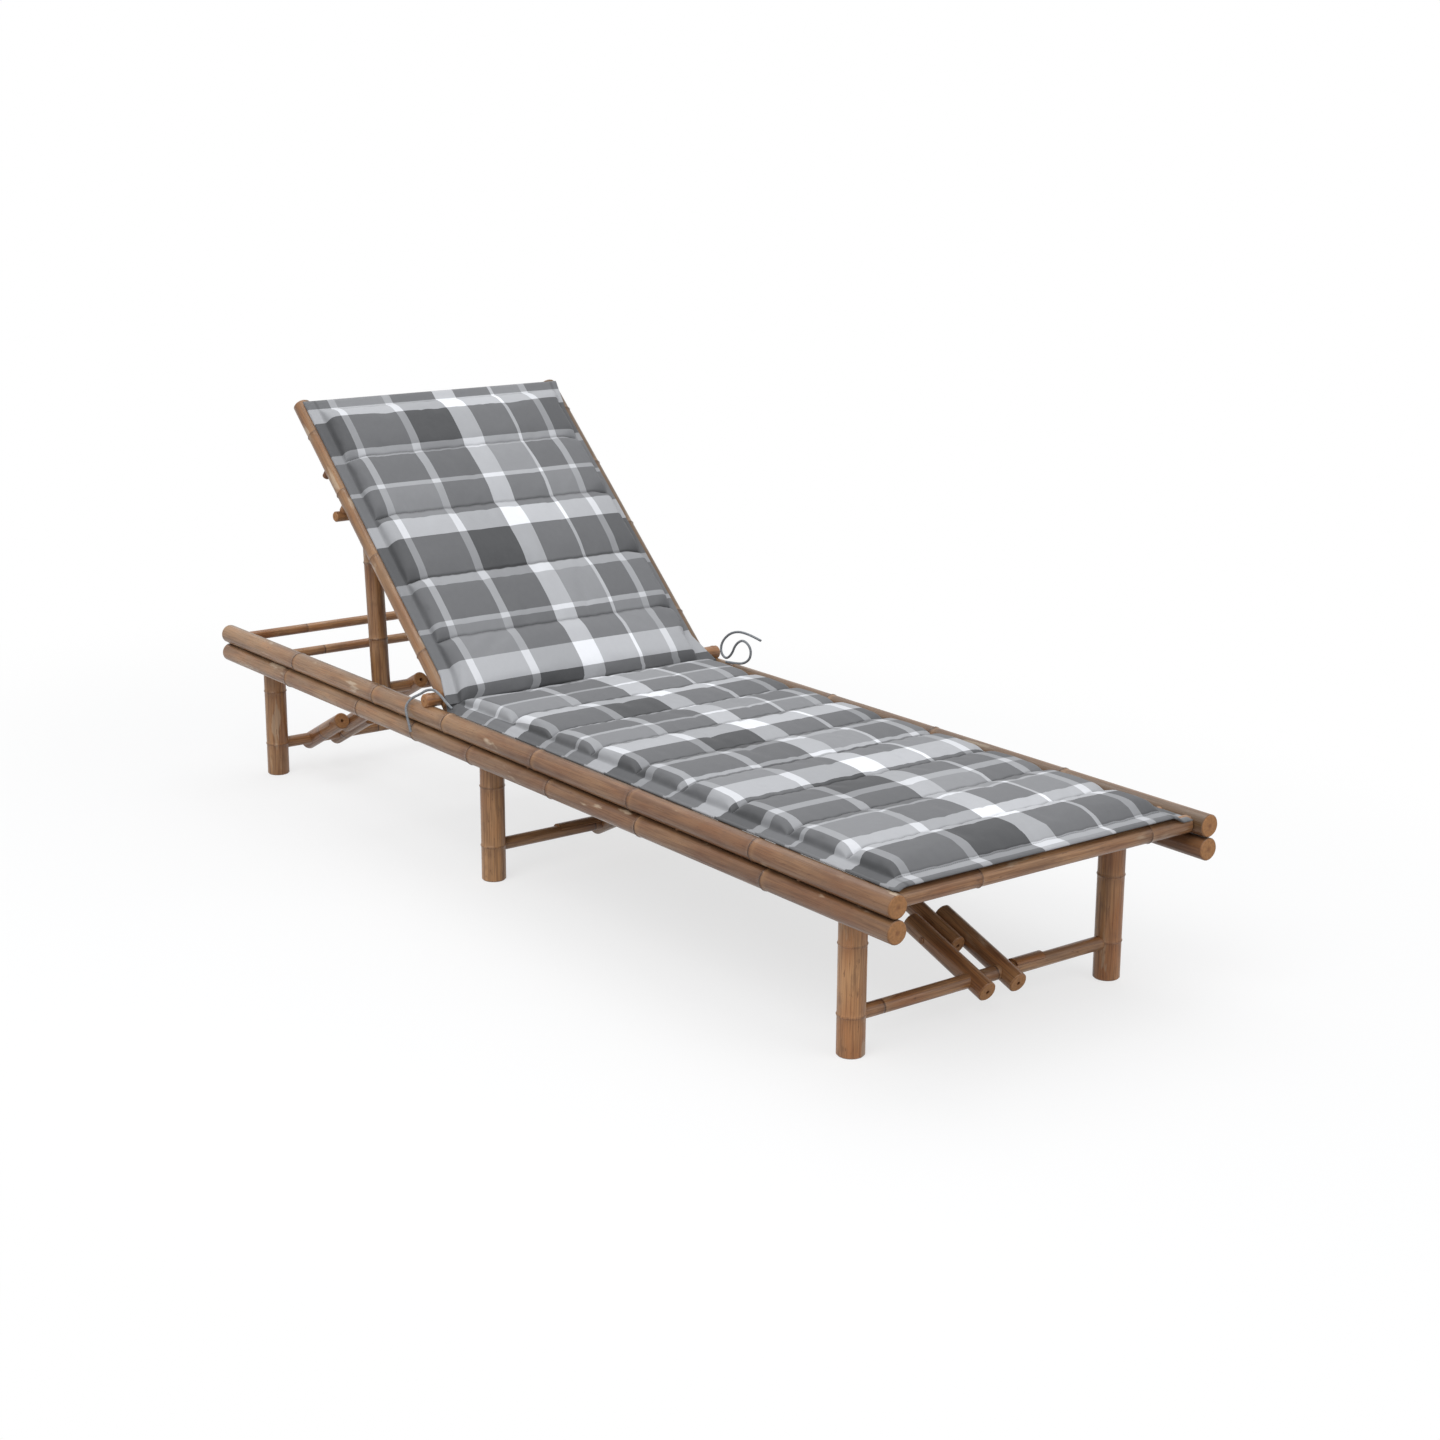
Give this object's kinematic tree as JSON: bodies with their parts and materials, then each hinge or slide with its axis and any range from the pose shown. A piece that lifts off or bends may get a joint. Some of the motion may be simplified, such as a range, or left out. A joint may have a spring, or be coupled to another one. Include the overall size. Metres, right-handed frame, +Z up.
{
  "type": "bamboo chaise longue",
  "caption": "Folding bamboo lounger with a propped, hinged backrest, braced leg pairs that fold under the frame, and a channel-quilted plaid pad with ties.",
  "frame": {"origin": "on the floor, under the middle of the frame", "axes": "+X along the lounger to the foot end, +Y to the left of someone lying on it, +Z up"},
  "size_m": [2, 0.6558, 0.7611],
  "materials": {
    "bamboo": "satin lacquered cane",
    "peg_wood": "matt hardwood dowel",
    "cushion_fabric": "woven plaid cotton, sewn in channels",
    "tie_cord": "sewn fabric tape"
  },
  "bodies": {
    "frame": {"foot_bar": "bamboo", "frame_pegs": "peg_wood", "front_brace_bar": "bamboo", "front_leg_axle": "bamboo", "head_bar": "bamboo", "hinge_bar": "bamboo", "left_lower_rail": "bamboo", "left_tie": "tie_cord", "left_upper_rail": "bamboo", "leg_spacers": "bamboo", "middle_brace_bar": "bamboo", "middle_leg_axle": "bamboo", "prop_bar": "bamboo", "rear_leg_axle": "bamboo", "right_lower_rail": "bamboo", "right_tie": "tie_cord", "right_upper_rail": "bamboo", "seat_cushion": "cushion_fabric", "seat_rung_1": "bamboo", "seat_rung_2": "bamboo", "seat_rung_3": "bamboo", "seat_rung_4": "bamboo", "seat_rung_5": "bamboo", "seat_rung_6": "bamboo", "seat_rung_7": "bamboo", "seat_rung_8": "bamboo"},
    "backrest": {"back_cushion": "cushion_fabric", "backrest_catches": "peg_wood", "backrest_rung_1": "bamboo", "backrest_rung_2": "bamboo", "backrest_rung_3": "bamboo", "backrest_top_bar": "bamboo", "left_backrest_pole": "bamboo", "right_backrest_pole": "bamboo"},
    "prop": {"left_prop_post": "bamboo", "prop_dowel": "bamboo", "right_prop_post": "bamboo"},
    "front_legs": {"front_left_leg": "bamboo", "front_right_leg": "bamboo", "front_stop_strip": "bamboo", "front_stretcher": "bamboo"},
    "middle_legs": {"middle_left_leg": "bamboo", "middle_right_leg": "bamboo", "middle_stop_strip": "bamboo", "middle_stretcher": "bamboo"},
    "rear_legs": {"rear_left_leg": "bamboo", "rear_right_leg": "bamboo", "rear_stretcher": "bamboo"},
    "front_brace": {"front_brace_left": "bamboo", "front_brace_pins": "peg_wood", "front_brace_right": "bamboo"},
    "middle_brace": {"middle_brace_left": "bamboo", "middle_brace_pins": "peg_wood", "middle_brace_right": "bamboo"},
    "rear_brace": {"rear_brace_left": "bamboo", "rear_brace_pins": "peg_wood", "rear_brace_right": "bamboo"},
    "front_link": {"front_link": "bamboo"},
    "middle_link": {"middle_link": "bamboo"},
    "rear_link": {"rear_link": "bamboo"}
  },
  "joints": [
    {"name": "backrest_hinge", "type": "hinge", "parent": "frame", "child": "backrest", "pos_m": [-0.227, 0, 0.29875], "axis": [0, 1, 0], "range_deg": [-42, 0]},
    {"name": "prop_swing", "type": "hinge", "parent": "frame", "child": "prop", "pos_m": [-0.562, 0, 0.236], "axis": [0, 1, 0], "range_deg": [-80.81, 0]},
    {"name": "front_legs_fold", "type": "hinge", "parent": "frame", "child": "front_legs", "pos_m": [0.852, 0, 0.236], "axis": [0, 1, 0], "range_deg": [0, 80]},
    {"name": "front_brace_turn", "type": "hinge", "parent": "front_legs", "child": "front_brace", "pos_m": [0.852, 0, 0.06], "axis": [0, 1, 0], "range_deg": [0, 63.52]},
    {"name": "front_link_turn", "type": "hinge", "parent": "frame", "child": "front_link", "pos_m": [0.352, 0, 0.236], "axis": [0, 1, 0], "range_deg": [-19.4, 0]},
    {"name": "middle_legs_fold", "type": "hinge", "parent": "frame", "child": "middle_legs", "pos_m": [-0.103, 0, 0.236], "axis": [0, 1, 0], "range_deg": [-80, 0]},
    {"name": "middle_brace_turn", "type": "hinge", "parent": "middle_legs", "child": "middle_brace", "pos_m": [-0.103, 0, 0.06], "axis": [0, 1, 0], "range_deg": [-57.13, 0]},
    {"name": "middle_link_turn", "type": "hinge", "parent": "frame", "child": "middle_link", "pos_m": [0.247, 0, 0.236], "axis": [0, 1, 0], "range_deg": [0, 26.7]},
    {"name": "rear_legs_fold", "type": "hinge", "parent": "frame", "child": "rear_legs", "pos_m": [-0.909, 0, 0.236], "axis": [0, 1, 0], "range_deg": [-80, 0]},
    {"name": "rear_brace_turn", "type": "hinge", "parent": "rear_legs", "child": "rear_brace", "pos_m": [-0.909, 0, 0.06], "axis": [0, 1, 0], "range_deg": [-56.96, 0]},
    {"name": "rear_link_turn", "type": "hinge", "parent": "frame", "child": "rear_link", "pos_m": [-0.562, 0, 0.236], "axis": [0, 1, 0], "range_deg": [0, 26.9]}
  ],
  "couplings": [
    {"joint": "prop_swing", "follows": "backrest_hinge", "ratio": 1.924},
    {"joint": "front_brace_turn", "follows": "front_legs_fold", "ratio": 0.794},
    {"joint": "front_link_turn", "follows": "front_legs_fold", "ratio": -0.2424},
    {"joint": "middle_brace_turn", "follows": "middle_legs_fold", "ratio": 0.7141},
    {"joint": "middle_link_turn", "follows": "middle_legs_fold", "ratio": -0.3337},
    {"joint": "rear_brace_turn", "follows": "rear_legs_fold", "ratio": 0.7119},
    {"joint": "rear_link_turn", "follows": "rear_legs_fold", "ratio": -0.3362}
  ]
}
